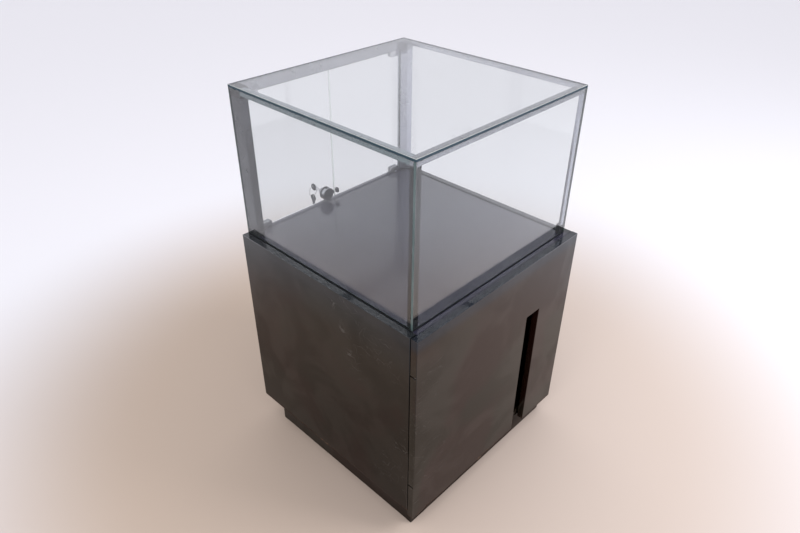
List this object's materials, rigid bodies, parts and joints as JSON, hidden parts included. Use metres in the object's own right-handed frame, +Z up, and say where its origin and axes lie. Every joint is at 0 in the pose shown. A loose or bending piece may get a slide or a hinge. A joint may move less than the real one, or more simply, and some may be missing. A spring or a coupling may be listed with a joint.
{
  "type": "pedestal display case",
  "caption": "Gloss black cabinet on a recessed plinth with a slotted storage door, under a framed glass case with two lockable swinging glass leaves.",
  "frame": {"origin": "centre of the bounding box on the floor, the bounding box being that of the case with its storage door closed and its key in the lock", "axes": "+Z up, +X along the slotted storage door from its hinges to its slot, +Y from the storage door towards the glass leaves"},
  "size_m": [0.6, 0.66, 1],
  "materials": {
    "gloss_black_board": "high-gloss black lacquered board",
    "beech_dowel": "plain beech",
    "raw_board": "raw softwood",
    "zinc_steel": "zinc plated",
    "white_nylon": "plain nylon",
    "soft_black": "matt black",
    "clear_glass": "clear polished, green edges",
    "dark_aluminium": "black anodised, satin",
    "chrome": "polished",
    "dark_nickel": "dark nickel plated, satin"
  },
  "bodies": {
    "case": {"deck_panel": "gloss_black_board", "left_side_panel": "gloss_black_board", "right_side_panel": "gloss_black_board", "back_panel": "gloss_black_board", "floor_panel": "gloss_black_board", "panel_dowels": "beech_dowel", "plinth_front_board": "gloss_black_board", "plinth_back_board": "gloss_black_board", "plinth_left_board": "gloss_black_board", "plinth_right_board": "gloss_black_board", "plinth_corner_blocks": "raw_board", "plinth_screws": "zinc_steel", "pivot_brackets": "zinc_steel", "bracket_screws": "zinc_steel", "storage_pivot_pins": "zinc_steel", "catch_housing": "soft_black", "catch_magnet": "zinc_steel", "catch_screws": "zinc_steel", "door_buffers": "soft_black", "glass_front": "clear_glass", "glass_left": "clear_glass", "glass_right": "clear_glass", "glass_top": "clear_glass", "glass_seat_strips": "soft_black", "left_post": "dark_aluminium", "right_post": "dark_aluminium", "door_header": "dark_aluminium", "front_top_rail": "dark_aluminium", "left_top_rail": "dark_aluminium", "right_top_rail": "dark_aluminium", "left_corner_angle": "dark_aluminium", "right_corner_angle": "dark_aluminium", "front_top_connectors": "dark_aluminium", "post_top_connectors": "soft_black", "front_corner_feet": "soft_black", "post_feet": "soft_black", "leaf_pivot_bushes": "zinc_steel"},
    "left_leaf": {"left_leaf": "clear_glass", "left_leaf_clamps": "chrome", "left_leaf_pivot_pins": "chrome", "left_clamp_screws": "soft_black", "lock_case": "dark_nickel", "lock_inner_plate": "dark_nickel", "lock_inner_cover": "dark_nickel", "lock_plate_screws": "dark_nickel"},
    "right_leaf": {"right_leaf": "clear_glass", "right_leaf_clamps": "chrome", "right_leaf_pivot_pins": "chrome", "right_clamp_screws": "soft_black", "lock_keeper": "dark_nickel"},
    "lock": {"lock_plug": "dark_nickel", "lock_crank": "dark_nickel"},
    "bolt": {"lock_bolt": "dark_nickel"},
    "door_key": {"door_key": "dark_nickel"},
    "key_ring": {"key_ring": "dark_nickel"},
    "spare_key": {"spare_key": "dark_nickel"},
    "storage_door": {"storage_door": "gloss_black_board", "storage_door_bushes": "white_nylon", "catch_strike_plate": "zinc_steel"}
  },
  "joints": [
    {"name": "left_leaf_swing", "type": "hinge", "parent": "case", "child": "left_leaf", "pos_m": [-0.239, 0.261, 0.797], "axis": [0, 0, 1], "range_deg": [0, 100]},
    {"name": "right_leaf_swing", "type": "hinge", "parent": "case", "child": "right_leaf", "pos_m": [0.239, 0.261, 0.797], "axis": [0, 0, -1], "range_deg": [0, 100]},
    {"name": "storage_door_swing", "type": "hinge", "parent": "case", "child": "storage_door", "pos_m": [-0.293, -0.323, 0.345], "axis": [0, 0, -1], "range_deg": [0, 100]},
    {"name": "lock_turn", "type": "hinge", "parent": "left_leaf", "child": "lock", "pos_m": [-0.028, 0.261, 0.6425], "axis": [0, 1, 0], "range_deg": [0, 90]},
    {"name": "bolt_slide", "type": "slide", "parent": "left_leaf", "child": "bolt", "axis": [1, 0, 0], "range_m": [0, 0.01273]},
    {"name": "key_pull", "type": "slide", "parent": "lock", "child": "door_key", "axis": [0, 1, 0], "range_m": [0, 0.018]},
    {"name": "ring_swing", "type": "hinge", "parent": "door_key", "child": "key_ring", "pos_m": [-0.028, 0.32, 0.64085], "axis": [1, 0, 0], "range_deg": [-12, 60]},
    {"name": "spare_key_swing", "type": "hinge", "parent": "key_ring", "child": "spare_key", "pos_m": [-0.028, 0.32, 0.61485], "axis": [1, 0, 0], "range_deg": [-12, 45]}
  ],
  "couplings": [
    {"joint": "bolt_slide", "follows": "lock_turn", "m_per_rad": 0.0081}
  ]
}
